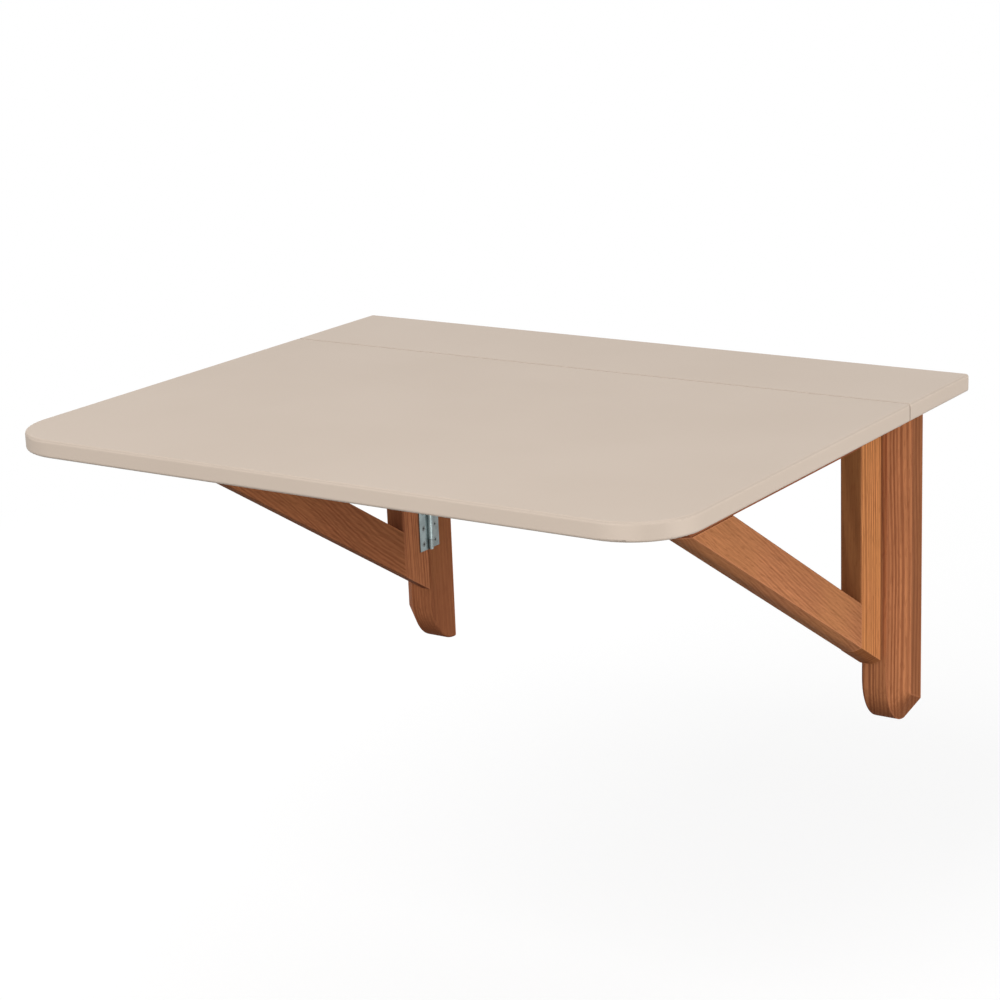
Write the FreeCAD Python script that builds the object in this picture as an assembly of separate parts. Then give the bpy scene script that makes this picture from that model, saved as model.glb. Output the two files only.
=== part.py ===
import FreeCAD, Part
import math
import os

# Wall mounted drop leaf table, standing open on its two swung-out gates.
# Millimetres, +Z up, +Y into the wall, and the wall's face is the plane Y = 0.
# The origin is the centre of the four wall screw holes, on the wall's face.

# Table top: a narrow shelf that stays on the wall, and the leaf hinged to its front edge
top_width = 750.0
shelf_depth = 141.0
leaf_depth = 475.0
seam_gap = 2.0
board_thickness = 18.0
board_round = 3.0
seam_round = 1.0
shelf_corner_radius = 4.0
leaf_corner_radius = 65.0

# Wall posts: the foot turns back to the wall, and a wide bevel on the outer front edge turns under it
post_inset = 51.0
post_width = 48.0
post_depth = 45.0
post_length = 364.5
post_round = 3.0
foot_height = 54.3
foot_heel = 1.0
post_bevel_width = 19.0
post_bevel_depth = 19.5
bevel_rise_fore = 37.5
bevel_rise_wall = 25.3
bevel_turn = 3.0

# Wall screw holes: two in each post, counterbored, behind the gate's upright
wall_hole_drop = 135.0
wall_hole_pitch = 155.0
wall_hole_radius = 3.25
wall_head_radius = 7.0
wall_head_depth = 10.0

# Gates: upright, arm and sloping brace, all cut from one batten
batten_width = 46.0
batten_thickness = 24.0
batten_round = 1.5
gate_height = 292.3
gate_reach = 477.0
gate_tip_height = 8.0
gate_bevel_width = 10.0
gate_bevel_height = 5.0
gate_bevel_round = 16.0
gate_top_gap = 0.3
gate_back_gap = 2.0

# Butt hinges: the same pattern carries the gates and the leaf
hinge_length = 54.0
hinge_reach = 18.7
hinge_sheet = 1.5
barrel_radius = 3.0
middle_knuckle = 30.0
knuckle_gap = 0.3
pin_radius = 1.75
pin_clearance = 0.05
pin_head_radius = 2.4
pin_head_height = 0.8
hinge_inset_top = 40.0
hinge_inset_foot = 50.3
leaf_hinge_inset = 11.0

# Countersunk hinge screws
screw_pitch = 19.0
screw_offset = 11.2
screw_length = 15.0
screw_tip = 4.0
screw_head_radius = 3.2
screw_shank_radius = 1.6
screw_clearance = 0.1
recess_length = 3.6
recess_width = 0.9
recess_depth = 1.0

# Dowels
dowel_radius = 4.0
dowel_length = 36.0
dowel_end_gap = 0.5
dowel_clearance = 0.05
shelf_dowel_depth = 12.0

# Places chosen along the piece that carries them
post_dowel_width_shares = (0.25, 0.70)
post_dowel_depth_share = 0.40
arm_dowel_shares = (0.26, 0.74)
foot_dowel_shares = (0.42, 0.78)
brace_dowel_shares = (0.52, 0.86)

# Cuts run this far past the faces that they break through; edges are matched to this distance
overrun = 5.0
match = 0.01

X = FreeCAD.Vector(1, 0, 0)
Y = FreeCAD.Vector(0, 1, 0)
Z = FreeCAD.Vector(0, 0, 1)

# Levels and planes that the pieces share
top_z = wall_hole_drop + wall_hole_pitch / 2
under_z = top_z - board_thickness
foot_z = under_z - post_length
half_width = top_width / 2
seam_back_y = -shelf_depth
seam_front_y = -shelf_depth - seam_gap
seam_mid_y = -shelf_depth - seam_gap / 2
front_y = seam_front_y - leaf_depth
outer_x = half_width - post_inset
inner_x = outer_x - post_width
gate_top_z = under_z - gate_top_gap
gate_foot_z = gate_top_z - gate_height
gate_back_y = -post_depth - gate_back_gap
gate_outer_x = inner_x + batten_thickness
gate_mid_x = inner_x + batten_thickness / 2
upright_front_y = gate_back_y - batten_width
arm_low_z = gate_top_z - batten_width
gate_slope = gate_height / gate_reach
brace_rise = batten_width * math.hypot(1, gate_slope)
gate_axis_x = inner_x - barrel_radius
gate_axis_y = -post_depth - gate_back_gap / 2
upper_hinge_z = gate_top_z - hinge_inset_top - hinge_length / 2
lower_hinge_z = gate_foot_z + hinge_inset_foot + hinge_length / 2
leaf_hinge_x = half_width - leaf_hinge_inset - hinge_length / 2
leaf_axis_z = under_z - barrel_radius


def vec(x, y, z):
    return FreeCAD.Vector(x, y, z)


def block(low, high):
    return Part.makeBox(high.x - low.x, high.y - low.y, high.z - low.z, low)


def side_profile(outline, x_from, x_to):
    # Extrude a closed outline of (y, z) points across the table
    points = [vec(x_from, y, z) for y, z in outline]
    face = Part.Face(Part.makePolygon(points + points[:1]))
    return face.extrude(X * (x_to - x_from))


def edges_in(shape, low, high):
    # Edges that lie wholly inside the box between two corners
    found = []
    for edge in shape.Edges:
        box = edge.BoundBox
        inside_x = box.XMin > low.x - match and box.XMax < high.x + match
        inside_y = box.YMin > low.y - match and box.YMax < high.y + match
        inside_z = box.ZMin > low.z - match and box.ZMax < high.z + match
        if inside_x and inside_y and inside_z:
            found.append(edge)
    return found


def placed(shape, origin, x_to, y_to):
    # Move a piece from its own axes to the table's
    turn = FreeCAD.Rotation(x_to, y_to, x_to.cross(y_to), "XYZ")
    copy = shape.copy()
    copy.Placement = FreeCAD.Placement(origin, turn).multiply(shape.Placement)
    return copy


def other_side(shape):
    return shape.mirror(vec(0, 0, 0), X)


def cut_all(shape, tools):
    return shape.cut(Part.makeCompound(tools))


def write(name, shape):
    solids = shape.Solids
    if not all(solid.isValid() and solid.Volume > 0 for solid in solids):
        raise RuntimeError(name + " is not a sound solid")
    whole = solids[0] if len(solids) == 1 else Part.makeCompound(solids)
    whole.exportStep(os.path.join("parts", name + ".step"))


# Boards

def board(back_y, fore_y, seam_y, corner_radius):
    # A board with two corners rounded in plan, eased along its free edges and, more finely, along the seam
    free_y = fore_y if seam_y == back_y else back_y
    shape = block(vec(-half_width, fore_y, under_z), vec(half_width, back_y, top_z))
    corners = []
    for x in (-half_width, half_width):
        corners += edges_in(shape, vec(x, free_y, under_z), vec(x, free_y, top_z))
    shape = shape.makeFillet(corner_radius, corners)
    for z in (under_z, top_z):
        rim = edges_in(shape, vec(-half_width, fore_y, z), vec(half_width, back_y, z))
        free = [edge for edge in rim if abs(edge.CenterOfMass.y - seam_y) > match]
        shape = shape.makeFillet(board_round, free)
    seam = edges_in(shape, vec(-half_width, seam_y, under_z), vec(half_width, seam_y, top_z))
    return shape.makeFillet(seam_round, seam)


# Butt hinge, in its own axes: the pin lies along z, the wood's face is the plane y = barrel_radius

def hinge_screw():
    shank = (screw_shank_radius, screw_length - screw_tip)
    outline = [(0, 0), (screw_head_radius, 0), (screw_shank_radius, hinge_sheet), shank, (0, screw_length)]
    points = [vec(r, y, 0) for r, y in outline]
    body = Part.Face(Part.makePolygon(points + points[:1])).revolve(vec(0, 0, 0), Y, 360)
    long, thin = recess_length / 2, recess_width / 2
    slots = [block(vec(-a, -overrun, -b), vec(a, recess_depth, b)) for a, b in ((long, thin), (thin, long))]
    return body.cut(slots[0].fuse(slots[1]))


def screw_seat():
    # Countersink in the sheet and pilot hole in the wood for one screw
    head = screw_head_radius + screw_clearance
    shank = screw_shank_radius + screw_clearance
    sink = Part.makeCone(head, shank, hinge_sheet, vec(0, 0, 0), Y)
    return sink.fuse(Part.makeCylinder(shank, screw_length + screw_clearance, vec(0, 0, 0), Y))


def screw_places(side):
    face_y = barrel_radius - hinge_sheet
    return [vec(side * screw_offset, face_y, step * screw_pitch) for step in (-1, 0, 1)]


def hinge_leaf(side):
    # side 1 carries the two end knuckles and side -1 the middle one
    half = hinge_length / 2
    ends = sorted((0, side * hinge_reach))
    plate = block(vec(ends[0], barrel_radius - hinge_sheet, -half), vec(ends[1], barrel_radius, half))
    barrel = Part.makeCylinder(barrel_radius, hinge_length, vec(0, 0, -half), Z)
    shape = plate.fuse(barrel).removeSplitter()
    shape = shape.cut(Part.makeCylinder(pin_radius + pin_clearance, hinge_length, vec(0, 0, -half), Z))
    across = sorted((-side * (barrel_radius + overrun), side * (barrel_radius + knuckle_gap)))
    depth = barrel_radius + overrun
    if side > 0:
        spans = [(-middle_knuckle / 2 - knuckle_gap, middle_knuckle / 2 + knuckle_gap)]
    else:
        spans = [(-half - overrun, -middle_knuckle / 2), (middle_knuckle / 2, half + overrun)]
    notches = [block(vec(across[0], -depth, low), vec(across[1], depth, high)) for low, high in spans]
    seats = [screw_seat().translated(place) for place in screw_places(side)]
    return cut_all(cut_all(shape, notches), seats)


def hinge_pin():
    # A straight pin with a low spherical dome at each end
    half = hinge_length / 2
    ball = (pin_head_radius ** 2 + pin_head_height ** 2) / (2 * pin_head_height)
    ball_z = half + pin_head_height - ball
    lean = math.asin(pin_head_radius / ball) / 2
    crown = vec(0, 0, ball_z + ball)
    dome = vec(ball * math.sin(lean), 0, ball_z + ball * math.cos(lean))
    rim = vec(pin_head_radius, 0, half)
    neck = vec(pin_radius, 0, half)

    def flip(point):
        return vec(point.x, point.y, -point.z)

    edges = [
        Part.makeLine(flip(crown), crown),
        Part.Arc(crown, dome, rim).toShape(),
        Part.makeLine(rim, neck),
        Part.makeLine(neck, flip(neck)),
        Part.makeLine(flip(neck), flip(rim)),
        Part.Arc(flip(rim), flip(dome), flip(crown)).toShape(),
    ]
    return Part.Face(Part.Wire(edges)).revolve(vec(0, 0, 0), Z, 360)


def hinge_at(origin, x_to, y_to):
    # One placed hinge: its two leaves, pin, screws and the seats that the screws need in the wood
    def put(shape):
        return placed(shape, origin, x_to, y_to)
    screws = {side: [put(hinge_screw().translated(p)) for p in screw_places(side)] for side in (1, -1)}
    seats = {side: [put(screw_seat().translated(p)) for p in screw_places(side)] for side in (1, -1)}
    return {
        "leaves": {side: put(hinge_leaf(side)) for side in (1, -1)},
        "pin": put(hinge_pin()),
        "screws": screws,
        "seats": seats,
    }


# Dowels and the blind holes that hold them

def dowel(centre, along):
    return Part.makeCylinder(dowel_radius, dowel_length, centre - along * (dowel_length / 2), along)


def dowel_hole(centre, along):
    length = dowel_length + 2 * dowel_end_gap
    return Part.makeCylinder(dowel_radius + dowel_clearance, length, centre - along * (length / 2), along)


# Wall post on the +X side

def post_section(x, fore_y, corner_z, wall_z, turn_depth, turn_height):
    # Seen from the side: down the front, round the corner in a quarter ellipse, and back to the wall
    wall_top, fore_top = vec(x, 0, under_z), vec(x, fore_y, under_z)
    corner, wall_low = vec(x, fore_y, corner_z), vec(x, 0, wall_z)
    turn_top = corner + Z * turn_height
    heel = corner + (wall_low - corner) * (turn_depth / -fore_y)
    turn = Part.BezierCurve()
    turn.setPoles([turn_top, corner, heel])
    turn.setWeight(2, math.sqrt(2) / 2)
    return Part.Wire([
        Part.makeLine(wall_top, fore_top),
        Part.makeLine(fore_top, turn_top),
        turn.toShape(),
        Part.makeLine(heel, wall_low),
        Part.makeLine(wall_low, wall_top),
    ])


def make_post(dowels, seats):
    bevel_x = outer_x - post_bevel_width
    foot_depth = post_depth - foot_heel
    inner = post_section(inner_x, -post_depth, foot_z, foot_z, foot_depth, foot_height)
    full = Part.Face(inner).extrude(X * (bevel_x - inner_x))
    arris = edges_in(full, vec(inner_x, -post_depth, foot_z), vec(inner_x, 0, under_z))
    arris = [edge for edge in arris if edge.BoundBox.YMin < -match and edge.BoundBox.ZMin < under_z - match]
    full = full.makeFillet(post_round, arris)
    fore_y = post_bevel_depth - post_depth
    corner_z, wall_z = foot_z + bevel_rise_fore, foot_z + bevel_rise_wall
    sections = [
        post_section(bevel_x, -post_depth, foot_z, foot_z, foot_depth, foot_height),
        post_section(outer_x, fore_y, corner_z, wall_z, bevel_turn, bevel_turn),
    ]
    shape = full.fuse(Part.makeLoft(sections, True, True)).removeSplitter()
    tools = list(seats)
    for step in (-1, 1):
        mouth = vec(gate_mid_x, -post_depth - overrun, step * wall_hole_pitch / 2)
        tools.append(Part.makeCylinder(wall_hole_radius, post_depth + 2 * overrun, mouth, Y))
        tools.append(Part.makeCylinder(wall_head_radius, wall_head_depth + overrun, mouth, Y))
    tools += [dowel_hole(*place) for place in dowels]
    return cut_all(shape, tools)


def post_dowel_places():
    z = under_z + shelf_dowel_depth - dowel_end_gap - dowel_length / 2
    y = -post_depth * post_dowel_depth_share
    return [(vec(inner_x + post_width * share, y, z), Z) for share in post_dowel_width_shares]


# Gate on the +X side: the sloping edge runs in one line over the foot, the brace and the arm's end

def slope_z(y):
    return gate_foot_z + (gate_back_y - y) * gate_slope


def slope_y(z):
    return gate_back_y - (z - gate_foot_z) / gate_slope


def ease(shape, runs):
    # Round the long arrises that lie between pairs of corners
    edges = []
    for low, high in runs:
        edges += edges_in(shape, low, high)
    return shape.makeFillet(batten_round, edges)


def slope_edges(shape, x):
    # Edges that run along the sloping side at one distance across the table
    edges = []
    for edge in shape.Edges:
        ends = [vertex.Point for vertex in edge.Vertexes]
        if all(abs(point.x - x) < match and abs(point.z - slope_z(point.y)) < match for point in ends):
            edges.append(edge)
    return edges


def bevel_slope(shape):
    # The outer edge of the sloping side is bevelled, and the bevel is rounded into the underside
    along = vec(0, -gate_reach, gate_height).normalize()
    up = X.cross(along) * -1
    beyond = overrun + gate_bevel_height
    edge = vec(gate_outer_x, gate_back_y, gate_foot_z) - along * beyond
    arris, hem = edge + up * gate_bevel_height, edge - X * gate_bevel_width
    face_run = (arris - hem).normalize() * overrun
    corners = [arris + face_run, hem - face_run, edge + (X - up) * overrun]
    wedge = Part.Face(Part.makePolygon(corners + corners[:1]))
    wedge = wedge.extrude(along * (math.hypot(gate_reach, gate_height) + 2 * beyond))
    shape = shape.cut(wedge)
    return shape.makeFillet(gate_bevel_round, slope_edges(shape, gate_outer_x - gate_bevel_width))


def make_upright(seats, holes):
    back, fore = gate_back_y, upright_front_y
    outline = [(back, gate_top_z), (fore, gate_top_z), (fore, slope_z(fore)), (back, gate_foot_z)]
    shape = bevel_slope(side_profile(outline, inner_x, gate_outer_x))
    runs = []
    for x in (inner_x, gate_outer_x):
        for y in (back, fore):
            runs.append((vec(x, y, gate_foot_z), vec(x, y, gate_top_z)))
    return cut_all(ease(shape, runs), seats + holes)


def make_arm(holes):
    fore = upright_front_y
    blunt_y = slope_y(gate_top_z - gate_tip_height)
    outline = [
        (fore, gate_top_z),
        (blunt_y, gate_top_z),
        (blunt_y, gate_top_z - gate_tip_height),
        (slope_y(arm_low_z), arm_low_z),
        (fore, arm_low_z),
    ]
    shape = bevel_slope(side_profile(outline, inner_x, gate_outer_x))
    runs = []
    for x in (inner_x, gate_outer_x):
        for z in (arm_low_z, gate_top_z):
            runs.append((vec(x, blunt_y, z), vec(x, fore, z)))
    return cut_all(ease(shape, runs), holes)


def brace_top_y(z):
    return slope_y(z - brace_rise)


def make_brace(holes):
    fore = upright_front_y
    outline = [
        (fore, slope_z(fore)),
        (slope_y(arm_low_z), arm_low_z),
        (brace_top_y(arm_low_z), arm_low_z),
        (fore, slope_z(fore) + brace_rise),
    ]
    shape = bevel_slope(side_profile(outline, inner_x, gate_outer_x))
    edges = []
    for edge in shape.Edges:
        ends = [vertex.Point for vertex in edge.Vertexes]
        heights = [point.z - slope_z(point.y) for point in ends]
        inner = all(abs(point.x - inner_x) < match for point in ends)
        outer = all(abs(point.x - gate_outer_x) < match for point in ends)
        upper = all(abs(height - brace_rise) < match for height in heights)
        lower = all(abs(height) < match for height in heights)
        if (inner and (upper or lower)) or (outer and upper):
            edges.append(edge)
    return cut_all(shape.makeFillet(batten_round, edges), holes)


def gate_dowel_places():
    # Two dowels in each of the gate's three joints
    fore = upright_front_y
    corner = [(vec(gate_mid_x, fore, gate_top_z - batten_width * share), Y) for share in arm_dowel_shares]
    foot = [(vec(gate_mid_x, fore, slope_z(fore) + brace_rise * share), Y) for share in foot_dowel_shares]
    low_y, high_y = slope_y(arm_low_z), brace_top_y(arm_low_z)
    head = [(vec(gate_mid_x, low_y + (high_y - low_y) * share, arm_low_z), Z) for share in brace_dowel_shares]
    return {"corner": corner, "foot": foot, "head": head}


os.makedirs("parts", exist_ok=True)

# Hinges of the +X side: two on the gate, one under the seam near the table's end
gate_hinges = {}
for level, z in (("upper", upper_hinge_z), ("lower", lower_hinge_z)):
    gate_hinges[level] = hinge_at(vec(gate_axis_x, gate_axis_y, z), Y, X)
leaf_hinge = hinge_at(vec(leaf_hinge_x, seam_mid_y, leaf_axis_z), Y, Z)

post_seats = [seat for hinge in gate_hinges.values() for seat in hinge["seats"][1]]
gate_seats = [seat for hinge in gate_hinges.values() for seat in hinge["seats"][-1]]
post_dowels = post_dowel_places()
gate_dowels = gate_dowel_places()
gate_holes = {joint: [dowel_hole(*place) for place in places] for joint, places in gate_dowels.items()}

# Pieces of one side, which the other side mirrors
post = make_post(post_dowels, post_seats)
upright = make_upright(gate_seats, gate_holes["corner"] + gate_holes["foot"])
arm = make_arm(gate_holes["corner"] + gate_holes["head"])
brace = make_brace(gate_holes["foot"] + gate_holes["head"])
shelf_pins = [dowel(*place) for place in post_dowels]
gate_pins = [dowel(*place) for places in gate_dowels.values() for place in places]
post_screws = [screw for hinge in gate_hinges.values() for screw in hinge["screws"][1]]
gate_screws = [screw for hinge in gate_hinges.values() for screw in hinge["screws"][-1]]

# Boards, with the holes of both sides
shelf_tools = [dowel_hole(*place) for place in post_dowels] + leaf_hinge["seats"][1]
shelf = board(0, seam_back_y, seam_back_y, shelf_corner_radius)
shelf = cut_all(shelf, shelf_tools + [other_side(tool) for tool in shelf_tools])
leaf_tools = leaf_hinge["seats"][-1]
leaf = board(seam_front_y, front_y, seam_front_y, leaf_corner_radius)
leaf = cut_all(leaf, leaf_tools + [other_side(tool) for tool in leaf_tools])
write("wall_shelf", shelf)
write("drop_leaf", leaf)

both_shelf_pins = []
both_shelf_screws = []
both_leaf_screws = []
for side, turn in (("right", lambda shape: shape), ("left", other_side)):
    write("post_" + side, turn(post))
    write("gate_" + side + "_upright", turn(upright))
    write("gate_" + side + "_arm", turn(arm))
    write("gate_" + side + "_brace", turn(brace))
    write("gate_" + side + "_dowels", turn(Part.makeCompound(gate_pins)))
    write("gate_" + side + "_hinge_screws", turn(Part.makeCompound(gate_screws)))
    write("post_" + side + "_hinge_screws", turn(Part.makeCompound(post_screws)))
    for level, hinge in gate_hinges.items():
        name = "_hinge_" + side + "_" + level
        write("post" + name + "_leaf", turn(hinge["leaves"][1]))
        write("gate" + name + "_leaf", turn(hinge["leaves"][-1]))
        write("gate" + name + "_pin", turn(hinge["pin"]))
    write("shelf_hinge_" + side + "_leaf", turn(leaf_hinge["leaves"][1]))
    write("flap_hinge_" + side + "_leaf", turn(leaf_hinge["leaves"][-1]))
    write("flap_hinge_" + side + "_pin", turn(leaf_hinge["pin"]))
    both_shelf_pins += [turn(pin) for pin in shelf_pins]
    both_shelf_screws += [turn(screw) for screw in leaf_hinge["screws"][1]]
    both_leaf_screws += [turn(screw) for screw in leaf_hinge["screws"][-1]]
write("post_dowels", Part.makeCompound(both_shelf_pins))
write("shelf_hinge_screws", Part.makeCompound(both_shelf_screws))
write("flap_hinge_screws", Part.makeCompound(both_leaf_screws))
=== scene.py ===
import math

import bpy
from mathutils import Matrix, Vector


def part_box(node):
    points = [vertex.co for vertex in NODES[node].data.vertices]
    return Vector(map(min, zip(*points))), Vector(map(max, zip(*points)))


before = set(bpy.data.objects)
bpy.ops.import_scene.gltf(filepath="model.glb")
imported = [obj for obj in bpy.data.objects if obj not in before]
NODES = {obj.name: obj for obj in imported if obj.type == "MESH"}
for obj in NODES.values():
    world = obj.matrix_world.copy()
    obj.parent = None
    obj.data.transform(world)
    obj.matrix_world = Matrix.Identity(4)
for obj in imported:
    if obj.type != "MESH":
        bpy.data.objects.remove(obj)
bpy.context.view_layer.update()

scene = bpy.context.scene
scene.view_settings.view_transform = "Standard"


# Node building

def srgb(red, green, blue):
    """Scene-linear colour of an 8-bit one."""
    def line(value):
        value /= 255.0
        return value / 12.92 if value <= 0.04045 else ((value + 0.055) / 1.055) ** 2.4
    return (line(red), line(green), line(blue), 1.0)


def grey(value):
    return (value, value, value, 1.0)


def scaled(colour, factor):
    return tuple(factor * part for part in colour[:3]) + (1.0,)


class Graph:
    """A material or world under construction."""

    def __init__(self, owner):
        owner.use_nodes = True
        self.tree = owner.node_tree
        self.tree.nodes.clear()

    def set(self, socket, value):
        if isinstance(value, bpy.types.NodeSocket):
            self.tree.links.new(value, socket)
        else:
            socket.default_value = value

    def add(self, kind, values=None, **props):
        node = self.tree.nodes.new("ShaderNode" + kind)
        for key, value in props.items():
            setattr(node, key, value)
        for key, value in (values or {}).items():
            self.set(node.inputs[key], value)
        return node

    def math(self, operation, first, second=0.0, third=0.0):
        return self.add("Math", {0: first, 1: second, 2: third}, operation=operation).outputs[0]

    def vec(self, operation, first, second=(0.0, 0.0, 0.0)):
        node = self.add("VectorMath", {0: first, 1: second}, operation=operation)
        return node.outputs["Value" if operation in ("LENGTH", "DOT_PRODUCT") else "Vector"]

    def noise(self, vector, scale, detail=2.0, rough=0.5):
        values = {"Vector": vector, "Scale": scale, "Detail": detail, "Roughness": rough}
        return self.add("TexNoise", values).outputs["Fac"]

    def grain(self, vector, scales, detail=2.0, rough=0.5):
        """Noise with its own scale along each axis."""
        return self.noise(self.vec("MULTIPLY", vector, scales), 1.0, detail, rough)

    def remap(self, value, low, high, to_low=0.0, to_high=1.0):
        values = {"Value": value, "From Min": low, "From Max": high, "To Min": to_low, "To Max": to_high}
        return self.add("MapRange", values, interpolation_type="SMOOTHSTEP").outputs["Result"]

    def mix(self, factor, first, second, blend="MIX"):
        node = self.add("Mix", data_type="RGBA", blend_type=blend)
        for index, value in ((0, factor), (6, first), (7, second)):
            self.set(node.inputs[index], value)
        return node.outputs[2]

    def bump(self, height, distance, strength):
        values = {"Height": height, "Distance": distance, "Strength": strength}
        return self.add("Bump", values).outputs["Normal"]

    def surface(self, values):
        shader = self.add("BsdfPrincipled", values)
        self.add("OutputMaterial", {"Surface": shader.outputs["BSDF"]})


def new_graph(name):
    material = bpy.data.materials.new(name)
    return material, Graph(material)


# Stained timber: growth rings round a distant pith, cut by whatever face the solid has

# Waves per metre of each noise, across the grain twice and then along it
WANDER, RIPPLE = (5.0, 5.0, 4.0), (90.0, 90.0, 26.0)
FIBRE, STREAK, FLECK = (1300.0, 1300.0, 34.0), (430.0, 430.0, 16.0), (620.0, 620.0, 75.0)
CLOUD, WARMTH = (22.0, 22.0, 5.0), (9.0, 9.0, 7.0)
# The same for the uneven width of the rings, outwards from the pith
RING_CHANGE = 70.0
# Shares of the piece's own tone, in red, green and blue
EARLY_WOOD, LATE_WOOD, PORE = (1.48, 1.60, 1.50), (0.52, 0.44, 0.40), (0.50, 0.42, 0.40)
DULL, GOLDEN, WORN_AND_HIGHLIT = (0.82, 0.75, 0.72), (1.12, 1.22, 1.06), (1.40, 1.45, 1.50)
# Paler arrises: painted highlight along the rounded edges, with wear
ARRIS_WIDTH, ARRIS_HIGHLIGHT_AND_WEAR = 0.0035, 0.70
# Faces along the rings darker, faces square to them paler: a real difference between cuts, pushed far enough
# to paint the light and shade those faces get
TANGENT_PAINTED_SHADE, TANGENT_FADE = 0.5, 0.6
PORE_DEPTH = 0.0001


def timber(name, centre, tilt, pith, lean, tone, stripe, ring, drift, seed):
    material, g = new_graph(name)

    def toned(shares):
        return tuple(part * share for part, share in zip(tone, shares)) + (1.0,)

    def along_piece(vector, location):
        values = {"Vector": vector, "Location": location, "Rotation": (tilt, 0.0, 0.0)}
        return g.add("Mapping", values, vector_type="TEXTURE").outputs["Vector"]

    coordinates = g.add("TexCoord").outputs
    local = along_piece(coordinates["Object"], centre)
    seeded = g.vec("ADD", local, (seed * 0.371, seed * 0.173, seed * 0.519))

    # Rings: distance from the pith, with a slow wander, a fine ripple and a lean along the piece
    def shift(scales, amount):
        noise = g.add("TexNoise", {"Vector": g.vec("MULTIPLY", seeded, scales), "Scale": 1.0, "Detail": 1.0})
        centred = g.vec("SUBTRACT", noise.outputs["Color"], (0.5, 0.5, 0.5))
        return g.vec("MULTIPLY", centred, (amount, amount, 0.0))

    wander = g.vec("ADD", shift(WANDER, drift), shift(RIPPLE, 0.10 * drift))
    length = g.add("SeparateXYZ", {"Vector": local}).outputs["Z"]
    slant = g.add("CombineXYZ", {"Y": g.math("MULTIPLY", length, lean)}).outputs[0]
    across = g.vec("SUBTRACT", g.vec("ADD", g.vec("ADD", local, wander), slant), (pith[0], pith[1], 0.0))
    across = g.vec("MULTIPLY", across, (1.0, 1.0, 0.0))
    radius = g.vec("LENGTH", across)
    uneven = g.noise(g.add("CombineXYZ", {"X": radius, "Y": seed}).outputs[0], RING_CHANGE, 1.0)
    phase = g.math("ADD", g.math("DIVIDE", radius, ring), g.math("MULTIPLY", uneven, 3.0))
    year = g.add("TexWhiteNoise", {"W": g.math("ADD", g.math("FLOOR", phase), seed)}, noise_dimensions="1D")
    late = g.remap(g.math("PINGPONG", phase, 0.5), 0.08, 0.42)
    late = g.math("MULTIPLY", late, g.math("MULTIPLY_ADD", year.outputs["Value"], 0.55, 0.45))

    # Fibres, pores and slow changes of tone
    fibre = g.grain(seeded, FIBRE, 3.0, 0.6)
    streak = g.grain(seeded, STREAK)
    fleck = g.remap(g.grain(seeded, FLECK, 1.0), 0.54, 0.70)
    cloud = g.grain(seeded, CLOUD)
    warm = g.grain(seeded, WARMTH, 1.0)

    # How the face cuts the grain: across it at the ends, along the rings or square to them elsewhere
    normal = along_piece(coordinates["Normal"], (0.0, 0.0, 0.0))
    end = g.remap(g.math("ABSOLUTE", g.vec("DOT_PRODUCT", normal, (0.0, 0.0, 1.0))), 0.15, 0.75)
    tangent = g.math("ABSOLUTE", g.vec("DOT_PRODUCT", normal, g.vec("NORMALIZE", across)))

    strength = g.math("MULTIPLY_ADD", tangent, -TANGENT_FADE * stripe, stripe)
    colour = g.mix(strength, tone, g.mix(late, toned(EARLY_WOOD), toned(LATE_WOOD)))
    colour = g.mix(g.remap(cloud, 0.30, 0.75, 0.0, 0.30), colour, toned(DULL))
    colour = g.mix(g.remap(warm, 0.42, 0.66, 0.0, 0.45), colour, toned(GOLDEN))
    shade = g.math("MULTIPLY_ADD", g.math("ADD", fibre, streak), 0.50, 0.52)
    # Painted shade and light by face: faces along the rings darker, faces square to them paler
    painted_face_shade = g.math("MULTIPLY_ADD", tangent, -TANGENT_PAINTED_SHADE, 1.0 + 0.4 * TANGENT_PAINTED_SHADE)
    shade = g.math("MULTIPLY", shade, painted_face_shade)
    shade = g.add("CombineColor", {0: shade, 1: shade, 2: shade}).outputs[0]
    colour = g.mix(1.0, colour, shade, "MULTIPLY")
    colour = g.mix(g.math("MULTIPLY", fleck, 0.30), colour, toned(PORE))
    colour = g.mix(g.math("MULTIPLY", end, 0.60), colour, toned(PORE))

    # Arrises paler: a painted highlight along the rounded edges, with some wear
    eased = g.add("Bevel", {"Radius": ARRIS_WIDTH}, samples=4).outputs["Normal"]
    facing = g.vec("DOT_PRODUCT", eased, g.add("NewGeometry").outputs["True Normal"])
    colour = g.mix(g.remap(facing, 0.998, 0.90, 0.0, ARRIS_HIGHLIGHT_AND_WEAR), colour, toned(WORN_AND_HIGHLIT))

    height = g.math("SUBTRACT", g.math("MULTIPLY", fibre, 0.5), g.math("MULTIPLY", late, 0.5))
    height = g.math("SUBTRACT", height, g.math("MULTIPLY", fleck, 0.6))
    g.surface({
        "Base Color": colour,
        "Roughness": g.math("MULTIPLY_ADD", g.math("ADD", fibre, late), 0.09, 0.50),
        "Specular IOR Level": 0.008,
        "Normal": g.bump(height, PORE_DEPTH, 0.5),
    })
    return material


# Lacquered board, with painted shade where it turns over the rounded edges and corners

BOARD_CLOUD, BOARD_SPECK, BOARD_PEEL = 5.0, 900.0, 420.0
PEEL_DEPTH = 0.00005
EDGE_PAINTED_SHADE = 0.88


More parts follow.
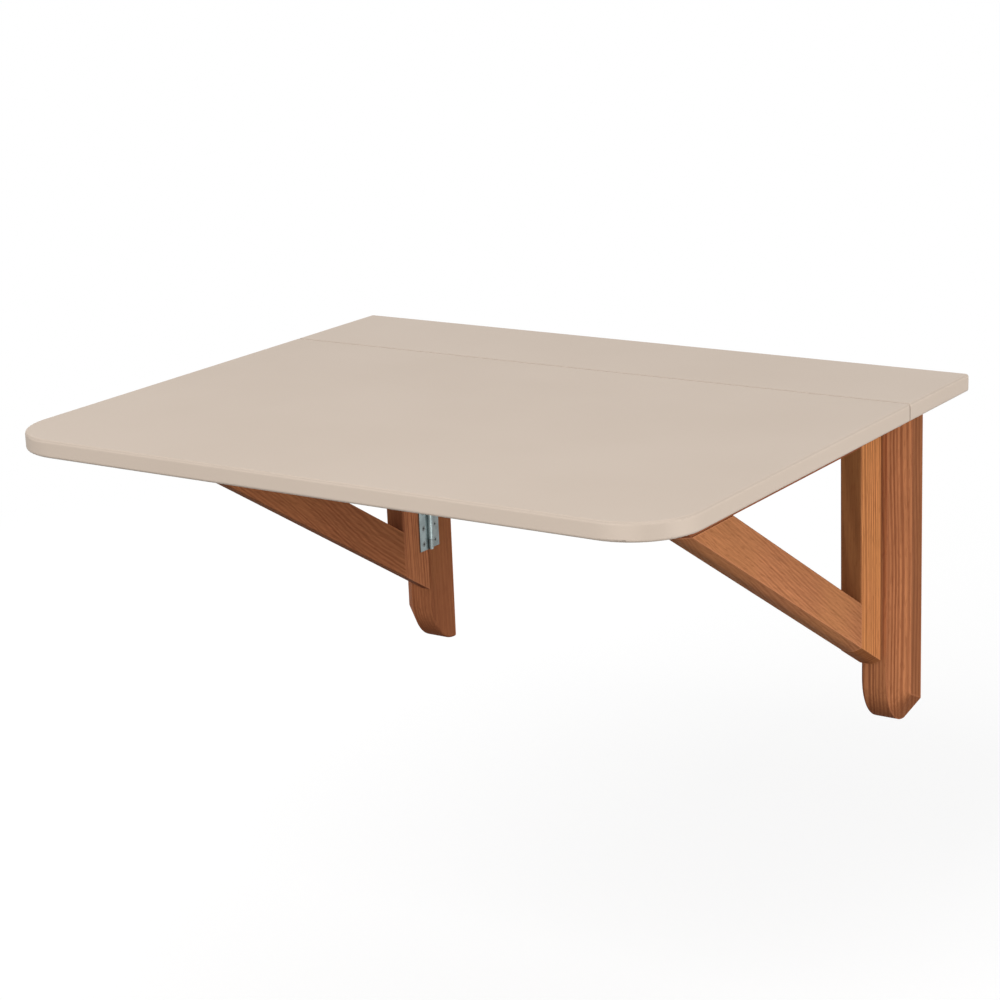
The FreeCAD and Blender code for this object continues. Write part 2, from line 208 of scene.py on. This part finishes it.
def lacquer(name, light, dark, seed):
    material, g = new_graph(name)
    coordinates = g.add("TexCoord").outputs
    place = g.vec("ADD", coordinates["Object"], (seed, seed * 0.6, 0.0))
    cloud = g.noise(place, BOARD_CLOUD, 3.0)
    speck = g.noise(place, BOARD_SPECK)
    peel = g.noise(place, BOARD_PEEL)
    colour = g.mix(g.remap(cloud, 0.3, 0.7), light, dark)
    colour = g.mix(g.remap(speck, 0.66, 0.78, 0.0, 0.10), colour, grey(0.30))
    side = g.add("SeparateXYZ", {"Vector": g.vec("ABSOLUTE", coordinates["Normal"])}).outputs
    flat = g.math("MAXIMUM", g.math("MAXIMUM", side["X"], side["Y"]), side["Z"])
    # Painted shade on the rounded edges and corners
    colour = g.mix(g.remap(flat, 0.98, 0.75), colour, scaled(dark, EDGE_PAINTED_SHADE))
    g.surface({
        "Base Color": colour,
        "Roughness": g.math("MULTIPLY_ADD", cloud, 0.12, 0.42),
        "Specular IOR Level": 0.08,
        "Normal": g.bump(peel, PEEL_DEPTH, 0.25),
    })
    return material


# Zinc plate, brushed, with painted shade in its narrow places

BRUSH, BRUSH_DEPTH = (2400.0, 2400.0, 160.0), 0.00003
BLOOM, BLOOM_SHADE = 130.0, 0.78
CREVICE_SHADE, CREVICE_SHADE_REACH = srgb(38, 36, 34), 0.004


def zinc(name, tint, seed):
    material, g = new_graph(name)
    place = g.vec("ADD", g.add("TexCoord").outputs["Object"], (seed, 0.0, seed))
    brush = g.grain(place, BRUSH, 3.0)
    bloom = g.noise(place, BLOOM, 3.0)
    colour = g.mix(g.remap(bloom, 0.35, 0.7), tint, scaled(tint, BLOOM_SHADE))
    # Painted shade: darker where the plate is hemmed in by nearby surfaces
    clear = g.add("AmbientOcclusion", {"Distance": CREVICE_SHADE_REACH}, samples=8).outputs["AO"]
    colour = g.mix(g.remap(clear, 0.15, 0.60), CREVICE_SHADE, colour)
    g.surface({
        "Base Color": colour,
        "Metallic": 0.85,
        "Roughness": g.math("MULTIPLY_ADD", bloom, 0.12, 0.13),
        "Normal": g.bump(brush, BRUSH_DEPTH, 0.5),
    })
    return material


# Bare beech of the dowels

PEG_FIBRE, PEG_FIBRE_DEPTH = 900.0, 0.0001


def beech(name):
    material, g = new_graph(name)
    fibre = g.noise(g.add("TexCoord").outputs["Object"], PEG_FIBRE)
    g.surface({
        "Base Color": g.mix(fibre, srgb(201, 170, 130), srgb(168, 132, 92)),
        "Roughness": 0.6,
        "Normal": g.bump(fibre, PEG_FIBRE_DEPTH, 0.5),
    })
    return material


def paint(node, material):
    mesh = NODES[node].data
    mesh.materials.clear()
    mesh.materials.append(material)


# Timber of each piece: tilt of the grain, pith, lean of the rings, tone, strength of the stripes,
# width of a ring, wander of the rings, seed; lengths in metres

brace_low, brace_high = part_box("gate_right_brace")
LYING = math.radians(90.0)
SLOPING = LYING - math.atan2(brace_high[2] - brace_low[2], brace_high[1] - brace_low[1])
# Each tone is fitted to how that piece looks where it stands, so mirrored pieces differ partly by painted
# light and shade
TIMBERS = {
    "post_right": (0.0, (-0.14, -0.07), 0.01, srgb(164, 103, 70), 1.00, 0.0041, 0.008, 3.0),
    "post_left": (0.0, (0.14, -0.07), 0.01, srgb(171, 106, 72), 0.50, 0.0045, 0.008, 8.0),
    "gate_right_upright": (0.0, (0.03, 0.14), 0.02, srgb(175, 112, 71), 1.00, 0.0046, 0.008, 12.0),
    "gate_left_upright": (0.0, (-0.02, 0.12), 0.02, srgb(162, 100, 70), 1.00, 0.0046, 0.008, 17.0),
    # The arms take a darker tone than the other battens: painted shade for their strip under the leaf
    "gate_right_arm": (LYING, (0.03, 0.10), 0.05, srgb(140, 83, 56), 0.40, 0.0040, 0.012, 21.0),
    "gate_left_arm": (LYING, (-0.03, 0.10), 0.05, srgb(140, 83, 56), 0.40, 0.0040, 0.012, 25.0),
    "gate_right_brace": (SLOPING, (0.06, 0.11), -0.12, srgb(181, 118, 81), 0.45, 0.0032, 0.016, 29.0),
    "gate_left_brace": (SLOPING, (-0.04, 0.10), -0.14, srgb(163, 101, 68), 0.80, 0.0034, 0.026, 33.0),
}
for node, (tilt, *grain) in TIMBERS.items():
    centre = tuple((low + high) / 2 for low, high in zip(*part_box(node)))
    paint(node, timber("timber_" + node, centre, tilt, *grain))

BOARD_LIGHT, BOARD_DARK = srgb(207, 191, 176), srgb(205, 189, 174)
paint("wall_shelf", lacquer("lacquer_shelf", BOARD_LIGHT, BOARD_DARK, 3.0))
paint("drop_leaf", lacquer("lacquer_leaf", BOARD_LIGHT, BOARD_DARK, 8.0))

plate = zinc("zinc_plate", srgb(142, 154, 154), 1.0)
# The leaves on the posts take the same zinc darker: painted shade
post_plate_painted_shade = zinc("zinc_post_plate_painted_shade", srgb(130, 138, 137), 2.0)
pin = zinc("zinc_pin", srgb(190, 196, 196), 4.0)
head = zinc("zinc_screw", srgb(128, 134, 132), 7.0)
peg = beech("beech_dowel")
for node in NODES:
    if node.endswith("_pin"):
        paint(node, pin)
    elif node.endswith("_screws"):
        paint(node, head)
    elif node.endswith("_dowels"):
        paint(node, peg)
    elif node.startswith("post_hinge"):
        paint(node, post_plate_painted_shade)
    elif "hinge" in node:
        paint(node, plate)


# Camera, fitted to the photograph: focal length in pixels of its frame, turn, dip and roll, place

FRAME_PX, SENSOR_MM = 1000.0, 36.0
LENS_PX = 2506.66
YAW, PITCH, ROLL = math.radians(34.224), math.radians(15.75), math.radians(2.288)
PLACE = Vector((1.36610, -2.30954, 0.79531))

ahead = Vector((-math.sin(YAW) * math.cos(PITCH), math.cos(YAW) * math.cos(PITCH), -math.sin(PITCH)))
aside = Vector((math.cos(YAW), math.sin(YAW), 0.0))
down = ahead.cross(aside)
right = math.cos(ROLL) * aside + math.sin(ROLL) * down
up = math.sin(ROLL) * aside - math.cos(ROLL) * down
camera = bpy.data.objects.new("camera", bpy.data.cameras.new("camera"))
camera.data.sensor_width = SENSOR_MM
camera.data.lens = LENS_PX * SENSOR_MM / FRAME_PX
camera.matrix_world = Matrix.Translation(PLACE) @ Matrix((right, up, -ahead)).transposed().to_4x4()
scene.collection.objects.link(camera)
scene.camera = camera


# Floor and world: white for the rays that make the background, plain light for all others.
# Near the object the white floor gives up part of its glow for a matt white, which takes the shadow.

FLOOR_Z, FLOOR_HALF = -0.54, 6.0
FLOOR_BOUNCE = 0.06
SHADOW_NEAR, SHADOW_FAR = 0.6, 2.4
GLOW_LOST, MATT_WHITE = 0.55, 0.60
AMBIENT = 0.76


def background_ray(g):
    path = g.add("LightPath").outputs
    seen = g.math("MAXIMUM", path["Is Camera Ray"], path["Is Glossy Ray"])
    return g.math("MAXIMUM", seen, path["Is Transmission Ray"])


signs = ((-1, -1), (1, -1), (1, 1), (-1, 1))
floor_mesh = bpy.data.meshes.new("floor")
floor_mesh.from_pydata([(x * FLOOR_HALF, y * FLOOR_HALF, FLOOR_Z) for x, y in signs], [], [(0, 1, 2, 3)])
floor = bpy.data.objects.new("floor", floor_mesh)
scene.collection.objects.link(floor)

floor_material, g = new_graph("floor_white")
bounce = g.add("BsdfDiffuse", {"Color": grey(FLOOR_BOUNCE)})
away = g.vec("LENGTH", g.vec("MULTIPLY", g.add("NewGeometry").outputs["Position"], (1.0, 1.0, 0.0)))
near = g.remap(away, SHADOW_NEAR, SHADOW_FAR, 1.0, 0.0)
glow = g.add("Emission", {"Color": grey(1.0), "Strength": g.math("MULTIPLY_ADD", near, -GLOW_LOST, 1.0)})
matt = g.add("BsdfDiffuse", {"Color": g.mix(near, grey(0.0), grey(MATT_WHITE))})
seen = g.add("AddShader", {0: glow.outputs[0], 1: matt.outputs[0]})
blend = g.add("MixShader", {0: background_ray(g), 1: bounce.outputs[0], 2: seen.outputs[0]})
g.add("OutputMaterial", {"Surface": blend.outputs[0]})
floor_mesh.materials.append(floor_material)

world = bpy.data.worlds.new("studio")
scene.world = world
g = Graph(world)
fill = g.add("Background", {"Color": grey(1.0), "Strength": AMBIENT})
white = g.add("Background", {"Color": grey(1.0), "Strength": 1.0})
blend = g.add("MixShader", {0: background_ray(g), 1: fill.outputs[0], 2: white.outputs[0]})
g.add("OutputWorld", {"Surface": blend.outputs[0]})


# Soft boxes: place, aim, width and height in metres, watts.
# The strip low on the right makes the bright line on the hinge barrels.

SOFTBOXES = {
    "key_front": ((0.25, -2.75, 2.05), (0.0, -0.45, 0.1), 2.0, 1.0, 33.5),
    "side_right": ((2.5, -0.70, -0.12), (0.2, -0.2, 0.0), 1.2, 0.7, 22.0),
    "low_right": ((1.15, -0.50, -0.42), (-0.27, -0.05, 0.0), 1.2, 0.13, 1.5),
    "front_low": ((0.3, -2.6, 0.0), (0.0, -0.3, 0.0), 1.8, 0.4, 7.0),
    "back_left": ((-2.2, 1.6, -0.05), (0.0, -0.1, 0.0), 1.6, 0.4, 10.0),
}
for name, (place, aim, width, height, watts) in SOFTBOXES.items():
    light = bpy.data.lights.new(name, "AREA")
    light.shape = "RECTANGLE"
    light.size, light.size_y = width, height
    light.energy = watts
    lamp = bpy.data.objects.new(name, light)
    lamp.location = place
    lamp.rotation_mode = "QUATERNION"
    lamp.rotation_quaternion = (Vector(aim) - Vector(place)).to_track_quat("-Z", "Y")
    lamp.visible_camera = False
    scene.collection.objects.link(lamp)
